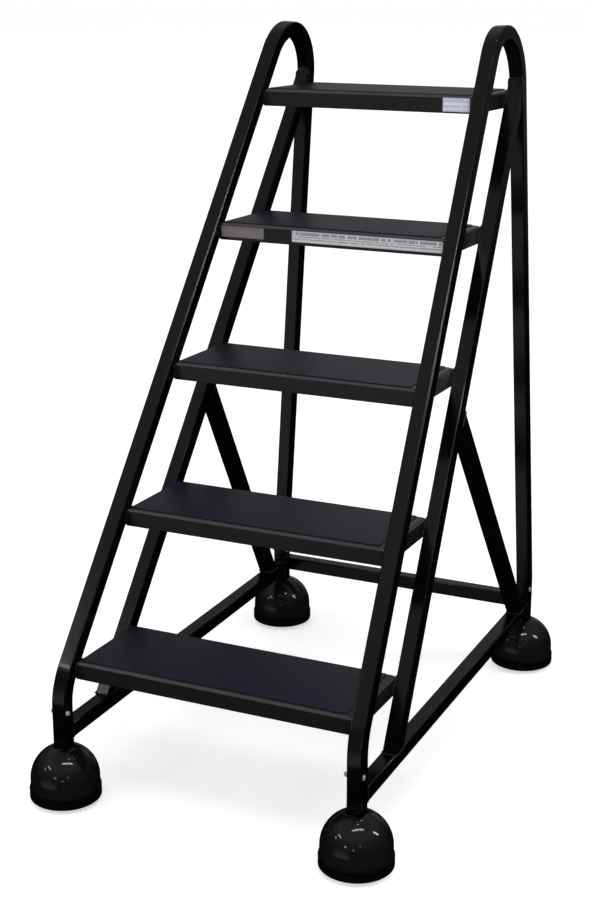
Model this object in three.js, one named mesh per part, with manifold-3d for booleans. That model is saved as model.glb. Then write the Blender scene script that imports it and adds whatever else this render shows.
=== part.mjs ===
// A five-step rolling library ladder, in millimetres, +Z up.
// X runs across the steps, and the steps rise from the front (-Y) to the back (+Y).
// The origin is on the floor, under the middle of the ladder.
//
// Two bent-tube side frames carry five sheet-metal steps with rubber mats. Each of the four legs ends
// in a domed cup with a rubber ring. The cup hides a swivel caster on a spring: unloaded, the casters
// hold the rings off the floor, and a climber's weight pushes the casters up until the rings stand.
import * as THREE from "three";
import { mergeVertices } from "three/addons/utils/BufferGeometryUtils.js";
import Module from "manifold-3d";

const wasm = await Module();
wasm.setup();

// Clearance between pieces that touch, and the amount a cutting tool runs past a face
const GAP = 0.3;
const WELD_GAP = 1; // room for the weld where a stringer meets the curve of the handle loop
const OVERRUN = 5;
const ROUND_SEGMENTS = 24; // sides of a cup or a ring

// Square tube stock
const TUBE = 28.6;
const WALL = 1.65;
const CORNER = 3;

// Side frames: plan of the feet, slope of the stringers, and lean of the two frames towards each other
const HALF_WHEELBASE = 466.5;
const RUN = 0.707; // horizontal run of a stringer for each unit of rise
const FRONT_STRINGER_Y = -627; // where the front stringer's centreline would reach the floor
const STRINGER_SPACING = 210.8; // horizontal distance from the front stringer to the rear one
const FLOOR_HALF_WIDTH = 300.4; // half the distance between the leaning frames, carried down to the floor
const LEAN = 0.0554; // inward shift of a frame for each unit of height
const FOOT_HALF_WIDTH = 289.6; // the legs turn plumb at this half width
const FOOT_BEND_RADIUS = 120;
const LOOP_RADIUS = 95.4;
const RAIL_Z = 134.6;
const CROSSBAR_Z = 148.5;
const BRACE_TOP_Z = 669; // where the brace meets the rear stringer's centreline
const BRACE_FOOT_Y = 398; // where the brace stands on the base rail

// Steps
const STEP_COUNT = 5;
const FIRST_STEP_Z = 267; // the top of its front edge
const RISE = 241.3;
const LIP_AHEAD = 6.6; // the step's front face stands this far ahead of the stringer's centreline
const STEP_DEPTH = 200;
const TREAD_FALL = 0.02; // the treads fall this much towards the back for each unit of depth
const STEP_FLANGE = 33;
const STEP_SHEET = 2;
const MAT_THICKNESS = 1.2;
const MAT_FRONT_MARGIN = 9;
const MAT_LEFT_MARGIN = 5;
const MAT_RIGHT_MARGIN = 15;
const MAT_BACK_MARGIN = 5;
const MAT_CORNER = 4;

// Domed cups and rubber rings. While the casters carry the ladder, the rings hang above the floor by
// the distance that the casters can be pushed up.
const CASTER_TRAVEL = 8;
const RING_BOTTOM_Z = CASTER_TRAVEL;
const RING_TOP_Z = 29.5;
const RING_RADIUS = 66;
const RING_LEDGE_RADIUS = 56.5;
const RING_LEDGE = 6;
const CUP_RADIUS = 63.6;
const CUP_WALL = 2.8;
const CUP_CENTRE_Z = 45.4;
const HUB_RADIUS = 24;
const HUB_BOTTOM_Z = 74;
const HUB_SHELF_Z = 79;
const HUB_HOLE_RADIUS = 8;

// Sprung swivel casters
const SOCKET_TOP_Z = 188;
const SOCKET_BORE_RADIUS = 6.5;
const SOCKET_BORE_TOP_Z = 158;
const RIVET_Z = 178;
const RIVET_Y = -8; // the rivet stands this far ahead of the leg's axis
const RIVET_RADIUS = 3;
const RIVET_OUTER_HEAD = { radius: 5, height: 3.2 };
const RIVET_INNER_HEAD = { radius: 4.7, height: 6.6 };
const STEM_RADIUS = 6.2;
const STEM_TOP_Z = 118;
const COLLAR_RADIUS = 11;
const COLLAR_Z = [60.6, 64];
const KINGPIN_RADIUS = 5;
const KINGPIN_HEAD_RADIUS = 7.6;
const KINGPIN_HEAD_Z = [49, 51.2];
const WHEEL_RADIUS = 25;
const WHEEL_WIDTH = 17;
const WHEEL_FACETS = 16;
const TRAIL = 20; // distance from the swivel axis back to the wheel's axle
const FORK_CROWN_Z = [51.5, 54.5];
const FORK_BOSS_TOP_Z = 60.3;
const FORK_BOSS_RADIUS = 13.5;
const FORK_HALF_WIDTH = 12.4;
const FORK_SHEET = 2.4;
const FORK_LEG_RADIUS = 8;
const AXLE_RADIUS = 4;
const AXLE_HEAD_RADIUS = 5.6;
const AXLE_HEAD = 2;
const WHEEL_BORE_GAP = 0.15;
const WHEEL_HUB_RADIUS = 9;
const WHEEL_EDGE = 2;
const SPRING_TURNS = 6;
const SPRING_STEPS_PER_TURN = 8;
const SPRING_WIRE_RADIUS = 1.1;
const SPRING_MEAN_RADIUS = 4.6;

const SLOPE_LENGTH = Math.hypot(1, RUN); // stringer length for each unit of rise
const SLOPE_ANGLE = Math.atan(RUN); // the stringers' angle from plumb
const TUBE_END_Z = HUB_SHELF_Z + GAP;
const REAR_STRINGER_Y = FRONT_STRINGER_Y + STRINGER_SPACING;

const MATERIALS = {
  frame: new THREE.MeshStandardMaterial({ color: 0x1c1c1d, roughness: 0.35, metalness: 0.2 }),
  step: new THREE.MeshStandardMaterial({ color: 0x232325, roughness: 0.4, metalness: 0.2 }),
  mat: new THREE.MeshStandardMaterial({ color: 0x25232b, roughness: 0.85, metalness: 0 }),
  label: new THREE.MeshStandardMaterial({ color: 0xd8d8dc, roughness: 0.5, metalness: 0 }),
  cup: new THREE.MeshStandardMaterial({ color: 0x19191a, roughness: 0.2, metalness: 0 }),
  ring: new THREE.MeshStandardMaterial({ color: 0x0c0c0c, roughness: 0.8, metalness: 0 }),
  socket: new THREE.MeshStandardMaterial({ color: 0x2e2e30, roughness: 0.6, metalness: 0 }),
  steel: new THREE.MeshStandardMaterial({ color: 0xb9bbbe, roughness: 0.3, metalness: 1 }),
  wheel: new THREE.MeshStandardMaterial({ color: 0x3a3a3c, roughness: 0.6, metalness: 0 }),
};

const ladder = new THREE.Group();

function addPart(parent, name, geometry, material) {
  const mesh = new THREE.Mesh(geometry, material);
  mesh.name = name;
  parent.add(mesh);
  return mesh;
}

// ---- Joining and cutting ----

function solidFrom(geometry) {
  const bare = geometry.clone();
  bare.deleteAttribute("normal");
  bare.deleteAttribute("uv");
  const merged = mergeVertices(bare, 1e-4);
  const mesh = new wasm.Mesh({
    numProp: 3,
    vertProperties: merged.attributes.position.array,
    triVerts: new Uint32Array(merged.index.array),
  });
  return new wasm.Manifold(mesh);
}

function geometryFrom(solid) {
  const mesh = solid.getMesh();
  const geometry = new THREE.BufferGeometry();
  geometry.setAttribute("position", new THREE.BufferAttribute(mesh.vertProperties, 3));
  geometry.setIndex(new THREE.BufferAttribute(mesh.triVerts, 1));
  geometry.computeVertexNormals();
  return geometry;
}

function cut(geometry, ...tools) {
  return geometryFrom(tools.reduce((left, tool) => left.subtract(solidFrom(tool)), solidFrom(geometry)));
}

function join(...geometries) {
  return geometryFrom(geometries.map(solidFrom).reduce((whole, piece) => whole.add(piece)));
}

// ---- Basic shapes ----

function boxBetween([x0, x1], [y0, y1], [z0, z1]) {
  const box = new THREE.BoxGeometry(x1 - x0, y1 - y0, z1 - z0);
  return box.translate((x0 + x1) / 2, (y0 + y1) / 2, (z0 + z1) / 2);
}

function barAlongX(radius, length, segments) {
  return new THREE.CylinderGeometry(radius, radius, length, segments).rotateZ(Math.PI / 2);
}

function pinBetween(radius, [z0, z1], segments) {
  const pin = new THREE.CylinderGeometry(radius, radius, z1 - z0, segments).rotateX(Math.PI / 2);
  return pin.translate(0, 0, (z0 + z1) / 2);
}

// Turns a profile of [radius, height] points about the vertical axis.
function turned(profile, segments) {
  const points = profile.map(([r, z]) => new THREE.Vector2(r, z));
  return new THREE.LatheGeometry(points, segments).rotateX(Math.PI / 2);
}

// Points on an arc in a plane, from one angle to another.
function arc([cx, cy], radius, from, to, steps) {
  return Array.from({ length: steps + 1 }, (_, i) => {
    const angle = from + ((to - from) * i) / steps;
    return [cx + radius * Math.cos(angle), cy + radius * Math.sin(angle)];
  });
}

function shapeOf(points) {
  return new THREE.Shape(points.map(([x, y]) => new THREE.Vector2(x, y)));
}

// ---- Square tube ----

function squareOutline(half, corner) {
  const inset = half - corner;
  const outline = [];
  for (const [sx, sy] of [[1, 1], [-1, 1], [-1, -1], [1, -1]]) {
    const start = Math.atan2(sy, sx) - Math.PI / 4;
    outline.push(...arc([sx * inset, sy * inset], corner, start, start + Math.PI / 2, 1));
  }
  return outline;
}

function tubeSection() {
  const section = shapeOf(squareOutline(TUBE / 2, CORNER));
  const bore = TUBE / 2 - WALL;
  const corners = [[bore, bore], [-bore, bore], [-bore, -bore], [bore, -bore]];
  section.holes.push(new THREE.Path(corners.map(([x, y]) => new THREE.Vector2(x, y))));
  return section;
}

// A run of square tube through given points. One pair of its walls stays parallel to the side axis.
// The corners are mitred, and each end is cut on a plane with the given normal.
class TubeRun extends THREE.Curve {
  constructor(points, side, startCut, endCut) {
    super();
    this.points = points;
    this.side = side;
    this.cuts = [startCut, endCut];
  }

  getSpacedPoints() {
    return this.points;
  }

  direction(i) {
    return new THREE.Vector3().subVectors(this.points[i + 1], this.points[i]).normalize();
  }

  // The normal of the plane that the section at point i lies in.
  cutNormal(i) {
    const last = this.points.length - 1;
    if (i === 0) return this.cuts[0] ?? this.direction(0);
    if (i === last) return this.cuts[1] ?? this.direction(last - 1);
    return this.direction(i - 1).add(this.direction(i)).normalize();
  }

  computeFrenetFrames() {
    const frames = { tangents: [], normals: [], binormals: [] };
    this.points.forEach((_, i) => {
      const along = this.direction(Math.max(i - 1, 0));
      const cutNormal = this.cutNormal(i);
      const across = new THREE.Vector3().crossVectors(along, this.side).normalize();
      const ontoCut = (v) => v.clone().addScaledVector(along, -v.dot(cutNormal) / along.dot(cutNormal));
      frames.tangents.push(along);
      frames.normals.push(ontoCut(this.side));
      frames.binormals.push(ontoCut(across));
    });
    return frames;
  }
}

const X_AXIS = new THREE.Vector3(1, 0, 0);
const Y_AXIS = new THREE.Vector3(0, 1, 0);
const Z_AXIS = new THREE.Vector3(0, 0, 1);

function squareTube(points, { side = X_AXIS, startCut, endCut } = {}) {
  const extrudePath = new TubeRun(points, side, startCut, endCut);
  return new THREE.ExtrudeGeometry(tubeSection(), { steps: points.length - 1, extrudePath });
}

// ---- Side frames ----

// Half the distance between the two leaning frames' centre planes at a height.
function frameHalfWidth(z) {
  return FLOOR_HALF_WIDTH - LEAN * z;
}

// The direction square to a leaning frame's plane.
function frameNormal(side) {
  return new THREE.Vector3(1, 0, side * LEAN).normalize();
}

// A tube in a leaning frame's plane, with its route given by depth and height. It turns plumb where
// the frame would be wider than widest.
function frameTube(side, route, { widest = Infinity, ...cuts }) {
  const points = route.map(([y, z]) => new THREE.Vector3(side * Math.min(frameHalfWidth(z), widest), y, z));
  return squareTube(points, { side: frameNormal(side), ...cuts });
}

// The route of the one bent tube that makes a front leg, its stringer, the handle loop and a rear leg.
function sideTubeRoute() {
  const bendZ = (-HALF_WHEELBASE - FRONT_STRINGER_Y) / RUN;
  const bendStartZ = bendZ - FOOT_BEND_RADIUS * Math.tan(SLOPE_ANGLE / 2);
  const footBend = arc(
    [-HALF_WHEELBASE + FOOT_BEND_RADIUS, bendStartZ], FOOT_BEND_RADIUS, Math.PI, Math.PI - SLOPE_ANGLE, 4,
  );
  const loopY = HALF_WHEELBASE - LOOP_RADIUS;
  const loopZ = (loopY - FRONT_STRINGER_Y - LOOP_RADIUS * SLOPE_LENGTH) / RUN;
  const loop = arc([loopY, loopZ], LOOP_RADIUS, Math.PI - SLOPE_ANGLE, 0, 14);
  const plumbZ = (FLOOR_HALF_WIDTH - FOOT_HALF_WIDTH) / LEAN;
  return [
    [-HALF_WHEELBASE, TUBE_END_Z],
    ...footBend,
    ...loop,
    [HALF_WHEELBASE, plumbZ],
    [HALF_WHEELBASE, TUBE_END_Z],
  ];
}

function rivetHole(side, y) {
  const hole = barAlongX(RIVET_RADIUS + GAP, TUBE + 2 * OVERRUN, 10);
  return hole.translate(side * FOOT_HALF_WIDTH, y + RIVET_Y, RIVET_Z);
}

function sideTube(side) {
  const tube = frameTube(side, sideTubeRoute(), { widest: FOOT_HALF_WIDTH });
  return cut(tube, rivetHole(side, -HALF_WHEELBASE), rivetHole(side, HALF_WHEELBASE));
}

function rearStringer(side) {
  const footZ = RAIL_Z + TUBE / 2 + GAP;
  const topY = HALF_WHEELBASE - TUBE / 2 - WELD_GAP;
  const ends = [
    [REAR_STRINGER_Y + RUN * footZ, footZ],
    [topY, (topY - REAR_STRINGER_Y) / RUN],
  ];
  return frameTube(side, ends, { startCut: Z_AXIS, endCut: Y_AXIS });
}

function baseRail(side) {
  const end = HALF_WHEELBASE - TUBE / 2 - GAP;
  return squareTube([-end, end].map((y) => new THREE.Vector3(side * FOOT_HALF_WIDTH, y, RAIL_Z)));
}

// The brace runs from the rear stringer's back face down to the top of the base rail.
function brace(side) {
  const topY = REAR_STRINGER_Y + RUN * BRACE_TOP_Z;
  const footZ = RAIL_Z + TUBE / 2 + GAP;
  const drop = footZ - BRACE_TOP_Z;
  const run = new THREE.Vector3(-side * LEAN * drop, BRACE_FOOT_Y - topY, drop);
  const stringerNormal = new THREE.Vector3(-side * LEAN, RUN, 1).cross(frameNormal(side)).normalize();
  const share = (TUBE / 2 + GAP) / run.dot(stringerNormal);
  const ends = [[topY + share * run.y, BRACE_TOP_Z + share * run.z], [BRACE_FOOT_Y, footZ]];
  return frameTube(side, ends, { startCut: stringerNormal, endCut: Z_AXIS });
}

function rearCrossbar() {
  const end = FOOT_HALF_WIDTH - TUBE / 2 - GAP;
  const ends = [-end, end].map((x) => new THREE.Vector3(x, HALF_WHEELBASE, CROSSBAR_Z));
  return squareTube(ends, { side: Y_AXIS });
}

function addFrames() {
  for (const [name, side] of [["left", -1], ["right", 1]]) {
    addPart(ladder, `${name}_side_tube`, sideTube(side), MATERIALS.frame);
    addPart(ladder, `${name}_rear_stringer`, rearStringer(side), MATERIALS.frame);
    addPart(ladder, `${name}_base_rail`, baseRail(side), MATERIALS.frame);
    addPart(ladder, `${name}_brace`, brace(side), MATERIALS.frame);
  }
  addPart(ladder, "rear_crossbar", rearCrossbar(), MATERIALS.frame);
}

// ---- Steps ----

// Half the clear width between the two frames at a height.
function clearHalfWidth(z) {
  return frameHalfWidth(z) - TUBE / 2 - GAP;
}

function stepPlace(index) {
  const top = FIRST_STEP_Z + RISE * index;
  const front = FRONT_STRINGER_Y + RUN * top - LIP_AHEAD;
  const isTop = index === STEP_COUNT - 1;
  const back = isTop ? HALF_WHEELBASE + TUBE / 2 : front + STEP_DEPTH;
  return { top, front, back };
}

// A bar whose ends follow the lean of the frames, between two heights and two depths.
function leaningBar([y0, y1], [z0, z1], inset) {
  const [low, high] = [z0, z1].map((z) => clearHalfWidth(z) - inset);
  const outline = shapeOf([[-low, z0], [low, z0], [high, z1], [-high, z1]]);
  const bar = new THREE.ExtrudeGeometry(outline, { depth: y1 - y0, bevelEnabled: false });
  return bar.rotateX(Math.PI / 2).translate(0, y1, 0);
}

// Slopes a shape down towards the back, with its ends kept on the planes of the leaning frames.
function sloped(geometry, front) {
  const places = geometry.attributes.position;
  for (let i = 0; i < places.count; i++) {
    const drop = TREAD_FALL * (places.getY(i) - front);
    places.setX(i, places.getX(i) + Math.sign(places.getX(i)) * LEAN * drop);
    places.setZ(i, places.getZ(i) - drop);
  }
  return geometry;
}

function stepPan({ top, front, back }) {
  const outside = leaningBar([front, back], [top - STEP_FLANGE, top], 0);
  const hollow = [top - STEP_FLANGE - OVERRUN, top - STEP_SHEET];
  return sloped(cut(outside, leaningBar([front + STEP_SHEET, back - STEP_SHEET], hollow, STEP_SHEET)), front);
}

function stepMat({ top, front, back }) {
  const [x0, x1] = [MAT_LEFT_MARGIN - clearHalfWidth(top), clearHalfWidth(top) - MAT_RIGHT_MARGIN];
  const [y0, y1] = [front + MAT_FRONT_MARGIN, back - MAT_BACK_MARGIN];
  const c = MAT_CORNER;
  const outline = shapeOf([
    [x0 + c, y0], [x1 - c, y0], [x1, y0 + c], [x1, y1 - c],
    [x1 - c, y1], [x0 + c, y1], [x0, y1 - c], [x0, y0 + c],
  ]);
  const mat = new THREE.ExtrudeGeometry(outline, { depth: MAT_THICKNESS, bevelEnabled: false });
  return sloped(mat.translate(0, 0, top + GAP), front);
}

function addSteps() {
  for (let i = 0; i < STEP_COUNT; i++) {
    const place = stepPlace(i);
    addPart(ladder, `step_${i + 1}`, stepPan(place), MATERIALS.step);
    addPart(ladder, `step_mat_${i + 1}`, stepMat(place), MATERIALS.mat);
  }
}

// Blank labels on the front flanges: which step, and the extent across and below the step's top.
const LABEL_THICKNESS = 0.4;
const LABELS = [
  { name: "rating_label", step: 3, x: [-228, -137], below: [5.5, 27] },
  { name: "instruction_label", step: 3, x: [-78, 226], below: [5.5, 27] },
  { name: "maker_label", step: 4, x: [157, 211], below: [4, 30] },
];

function addLabels() {
  for (const { name, step, x, below } of LABELS) {
    const { top, front } = stepPlace(step);
    const y = [front - GAP - LABEL_THICKNESS, front - GAP];
    const plate = boxBetween(x, y, [top - below[1], top - below[0]]);
    addPart(ladder, name, plate, MATERIALS.label);
  }
}

// ---- Feet: cups, rings and sprung casters, all made about a leg's vertical axis ----

function domedCup() {
  const crown = Math.acos(HUB_HOLE_RADIUS / CUP_RADIUS);
  const inside = CUP_RADIUS - CUP_WALL;
  const underHub = Math.acos(HUB_RADIUS / inside);
  const profile = [
    [inside, RING_BOTTOM_Z + RING_LEDGE + GAP],
    [CUP_RADIUS, RING_BOTTOM_Z + RING_LEDGE + GAP],
    ...arc([0, CUP_CENTRE_Z], CUP_RADIUS, 0, crown, 6),
    [HUB_HOLE_RADIUS, HUB_BOTTOM_Z],
    [HUB_RADIUS, HUB_BOTTOM_Z],
    ...arc([0, CUP_CENTRE_Z], inside, underHub, 0, 4),
    [inside, RING_BOTTOM_Z + RING_LEDGE + GAP],
  ];
  const half = TUBE / 2 + GAP;
  const socketTop = CUP_CENTRE_Z + CUP_RADIUS + OVERRUN;
  const socket = boxBetween([-half, half], [-half, half], [HUB_SHELF_Z, socketTop]);
  return cut(turned(profile, ROUND_SEGMENTS), socket);
}

function rubberRing() {
  const nose = 3;
  const inside = CUP_RADIUS + GAP;
  return turned([
    [RING_LEDGE_RADIUS, RING_BOTTOM_Z],
    [RING_RADIUS - nose, RING_BOTTOM_Z],
    [RING_RADIUS, RING_BOTTOM_Z + nose],
    [RING_RADIUS, RING_TOP_Z - nose / 2],
    [RING_RADIUS - nose / 2, RING_TOP_Z],
    [inside, RING_TOP_Z],
    [inside, RING_BOTTOM_Z + RING_LEDGE],
    [RING_LEDGE_RADIUS, RING_BOTTOM_Z + RING_LEDGE],
    [RING_LEDGE_RADIUS, RING_BOTTOM_Z],
  ], ROUND_SEGMENTS);
}

// The plug in the bottom of the leg that guides the caster's stem and holds its spring.
function casterSocket() {
  const half = TUBE / 2 - WALL - GAP;
  const plug = boxBetween([-half, half], [-half, half], [TUBE_END_Z, SOCKET_TOP_Z]);
  const bore = pinBetween(SOCKET_BORE_RADIUS, [TUBE_END_Z - OVERRUN, SOCKET_BORE_TOP_Z], 12);
  const hole = barAlongX(RIVET_RADIUS + GAP, TUBE, 10).translate(0, RIVET_Y, RIVET_Z);
  return cut(plug, bore, hole);
}

// A rivet through the leg and the socket. Its domed head stands taller on the leg's inner side.
function legRivet(side) {
  const seat = TUBE / 2 + GAP;
  const head = ({ radius, height }) => [
    [RIVET_RADIUS, seat],
    [radius, seat],
    [radius, seat + height * 0.3],
    [radius * 0.7, seat + height * 0.8],
    [0, seat + height],
  ];
  const inner = head(RIVET_INNER_HEAD).map(([r, z]) => [r, -z]).reverse();
  const rivet = turned([...inner, ...head(RIVET_OUTER_HEAD)], 10).rotateY((side * Math.PI) / 2);
  return rivet.translate(0, RIVET_Y, RIVET_Z);
}

// Wire helix with a square-cut section, closed at both ends.
function casterSpring() {
  const wire = SPRING_WIRE_RADIUS;
  const [low, high] = [STEM_TOP_Z + GAP + wire, SOCKET_BORE_TOP_Z - GAP - wire];
  const steps = SPRING_TURNS * SPRING_STEPS_PER_TURN;
  const points = Array.from({ length: steps + 1 }, (_, i) => {
    const angle = (2 * Math.PI * i) / SPRING_STEPS_PER_TURN;
    const [x, y] = [SPRING_MEAN_RADIUS * Math.cos(angle), SPRING_MEAN_RADIUS * Math.sin(angle)];
    return new THREE.Vector3(x, y, low + ((high - low) * i) / steps);
  });
  const extrudePath = new TubeRun(points, Z_AXIS);
  const section = shapeOf([[wire, 0], [0, wire], [-wire, 0], [0, -wire]]);
  return new THREE.ExtrudeGeometry(section, { steps, extrudePath });
}

// Stem, collar and the kingpin that the fork turns on.
function casterStem() {
  return turned([
    [0, KINGPIN_HEAD_Z[0]],
    [KINGPIN_HEAD_RADIUS, KINGPIN_HEAD_Z[0]],
    [KINGPIN_HEAD_RADIUS, KINGPIN_HEAD_Z[1]],
    [KINGPIN_RADIUS, KINGPIN_HEAD_Z[1]],
    [KINGPIN_RADIUS, COLLAR_Z[0]],
    [COLLAR_RADIUS, COLLAR_Z[0]],
    [COLLAR_RADIUS, COLLAR_Z[1]],
    [STEM_RADIUS, COLLAR_Z[1]],
    [STEM_RADIUS, STEM_TOP_Z],
    [0, STEM_TOP_Z],
  ], 12);
}

// Side view of one fork leg: from the crown down to a round end about the axle.
function forkLeg() {
  const outline = shapeOf([
    ...arc([TRAIL, WHEEL_RADIUS], FORK_LEG_RADIUS, 0, -Math.PI, 5),
    [-FORK_HALF_WIDTH, FORK_CROWN_Z[1]],
    [TRAIL + FORK_HALF_WIDTH, FORK_CROWN_Z[1]],
  ].reverse());
  const leg = new THREE.ExtrudeGeometry(outline, { depth: FORK_SHEET, bevelEnabled: false });
  return leg.rotateX(Math.PI / 2).rotateZ(Math.PI / 2);
}

function casterFork() {
  const crown = boxBetween(
    [-FORK_HALF_WIDTH, FORK_HALF_WIDTH], [-FORK_HALF_WIDTH, TRAIL + FORK_HALF_WIDTH], FORK_CROWN_Z,
  );
  const boss = pinBetween(FORK_BOSS_RADIUS, [FORK_CROWN_Z[0], FORK_BOSS_TOP_Z], 12);
  const legs = [-FORK_HALF_WIDTH, FORK_HALF_WIDTH - FORK_SHEET].map((x) => forkLeg().translate(x, 0, 0));
  const kingpinHole = pinBetween(KINGPIN_RADIUS + GAP, [FORK_CROWN_Z[0] - 1, FORK_BOSS_TOP_Z + 1], 12);
  const axleHole = barAlongX(AXLE_RADIUS + GAP, 3 * FORK_HALF_WIDTH, 10).translate(0, TRAIL, WHEEL_RADIUS);
  return cut(join(crown, boss, ...legs), kingpinHole, axleHole);
}

function wheelAxle() {
  const shank = FORK_HALF_WIDTH + GAP;
  const upper = [
    [AXLE_RADIUS, shank],
    [AXLE_HEAD_RADIUS, shank],
    [AXLE_HEAD_RADIUS, shank + AXLE_HEAD],
    [0, shank + AXLE_HEAD],
  ];
  const lower = upper.map(([r, z]) => [r, -z]).reverse();
  return turned([...lower, ...upper], 10).rotateY(Math.PI / 2).translate(0, TRAIL, WHEEL_RADIUS);
}

// The tread's flats stand a true wheel radius from the axle, with one flat on the floor.
function wheel() {
  const rim = WHEEL_RADIUS / Math.cos(Math.PI / WHEEL_FACETS);
  const bore = AXLE_RADIUS + WHEEL_BORE_GAP;
  const hub = FORK_HALF_WIDTH - FORK_SHEET - GAP;
  const half = WHEEL_WIDTH / 2;
  const upper = [
    [rim, half - WHEEL_EDGE],
    [rim - WHEEL_EDGE, half],
    [WHEEL_HUB_RADIUS, half],
    [WHEEL_HUB_RADIUS, hub],
    [bore, hub],
  ];
  const lower = upper.map(([r, z]) => [r, -z]).reverse();
  const solid = turned([...lower, ...upper, lower[0]], WHEEL_FACETS);
  return solid.rotateZ(Math.PI / WHEEL_FACETS).rotateY(Math.PI / 2).translate(0, TRAIL, WHEEL_RADIUS);
}

const FEET = [
  { name: "front_left", x: -1, y: -1 },
  { name: "front_right", x: 1, y: -1 },
  { name: "rear_left", x: -1, y: 1 },
  { name: "rear_right", x: 1, y: 1 },
];

function addFeet() {
  for (const { name, x, y } of FEET) {
    const foot = new THREE.Group();
    foot.position.set(x * FOOT_HALF_WIDTH, y * HALF_WHEELBASE, 0);
    addPart(foot, `${name}_cup`, domedCup(), MATERIALS.cup);
    addPart(foot, `${name}_rubber_ring`, rubberRing(), MATERIALS.ring);
    addPart(foot, `${name}_caster_socket`, casterSocket(), MATERIALS.socket);
    addPart(foot, `${name}_leg_rivet`, legRivet(x), MATERIALS.steel);
    addPart(foot, `${name}_caster_spring`, casterSpring(), MATERIALS.steel);
    addPart(foot, `${name}_caster_stem`, casterStem(), MATERIALS.steel);
    addPart(foot, `${name}_caster_fork`, casterFork(), MATERIALS.steel);
    addPart(foot, `${name}_wheel_axle`, wheelAxle(), MATERIALS.steel);
    addPart(foot, `${name}_wheel`, wheel(), MATERIALS.wheel);
    ladder.add(foot);
  }
}

addFrames();
addSteps();
addLabels();
addFeet();

export default ladder;
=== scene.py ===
"""Looks of the rolling library ladder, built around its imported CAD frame. Lengths are in metres.

Every shown surface is a piece made here, except the caster sockets, which are the CAD's own.
Each piece takes the place of the CAD node that it is named after, and rides on that node's body.
"""

import math

import bmesh
import bpy
from mathutils import Matrix, Vector


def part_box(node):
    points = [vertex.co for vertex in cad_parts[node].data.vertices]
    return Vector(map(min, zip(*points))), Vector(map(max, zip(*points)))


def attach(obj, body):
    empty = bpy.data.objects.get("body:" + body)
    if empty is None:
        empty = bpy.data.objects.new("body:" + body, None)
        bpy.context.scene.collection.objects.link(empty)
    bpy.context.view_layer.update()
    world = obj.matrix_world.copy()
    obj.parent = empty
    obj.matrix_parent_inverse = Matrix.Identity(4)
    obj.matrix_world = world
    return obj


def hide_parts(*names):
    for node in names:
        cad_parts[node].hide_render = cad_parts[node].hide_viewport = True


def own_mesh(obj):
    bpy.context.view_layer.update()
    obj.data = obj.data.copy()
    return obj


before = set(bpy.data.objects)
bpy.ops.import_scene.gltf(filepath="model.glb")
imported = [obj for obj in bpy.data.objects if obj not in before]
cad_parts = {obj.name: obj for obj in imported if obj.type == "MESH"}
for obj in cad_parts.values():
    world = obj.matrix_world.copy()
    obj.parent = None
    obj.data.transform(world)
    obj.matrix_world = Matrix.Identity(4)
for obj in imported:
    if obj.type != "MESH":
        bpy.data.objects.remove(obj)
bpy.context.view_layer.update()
SCENE = bpy.context.scene
SCENE.view_settings.view_transform = "Standard"

# ---- Camera ----

CAMERA_PLACE = Vector((1.23390, -2.75764, 1.49250))
CAMERA_TARGET = Vector((0.06415, -0.22072, 0.62808))
CAMERA_LENS = 64.395

camera_data = bpy.data.cameras.new("camera")
camera_data.lens = CAMERA_LENS
camera_data.sensor_width = 36
camera_data.clip_start = 0.05
camera_data.clip_end = 100
camera = bpy.data.objects.new("camera", camera_data)
camera.location = CAMERA_PLACE
camera.rotation_euler = (CAMERA_TARGET - CAMERA_PLACE).to_track_quat("-Z", "Y").to_euler()
SCENE.collection.objects.link(camera)
SCENE.camera = camera

# ---- Dimensions, the same as the CAD's ----

TUBE = 0.0286
TUBE_CORNER = 0.0032
GAP = 0.0003
WELD_GAP = 0.001
HALF_WHEELBASE = 0.4665
RUN = 0.707
FRONT_STRINGER_Y = -0.627
REAR_STRINGER_Y = -0.4162
FLOOR_HALF_WIDTH = 0.3004
LEAN = 0.0554
FOOT_HALF_WIDTH = 0.2896
FOOT_BEND_RADIUS = 0.12
LOOP_RADIUS = 0.0954
RAIL_Z = 0.1346
CROSSBAR_Z = 0.1485
BRACE_TOP_Z = 0.669
BRACE_FOOT_Y = 0.398
TUBE_END_Z = 0.0793
STEP_TOPS = [0.267 + 0.2413 * i for i in range(5)]
STEP_FLANGE = 0.033
TREAD_FALL = 0.02
STEP_SHEET = 0.002
CASTER_TRAIL = 0.02
WHEEL_Z = 0.025

SLOPE_LENGTH = math.hypot(1, RUN)
SLOPE_ANGLE = math.atan(RUN)
SIDES = {"left": -1, "right": 1}
FEET = {"front_left": (-1, -1), "front_right": (1, -1), "rear_left": (-1, 1), "rear_right": (1, 1)}
X_AXIS = Vector((1, 0, 0))
Y_AXIS = Vector((0, 1, 0))
Z_AXIS = Vector((0, 0, 1))

# ---- Node materials ----


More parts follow.
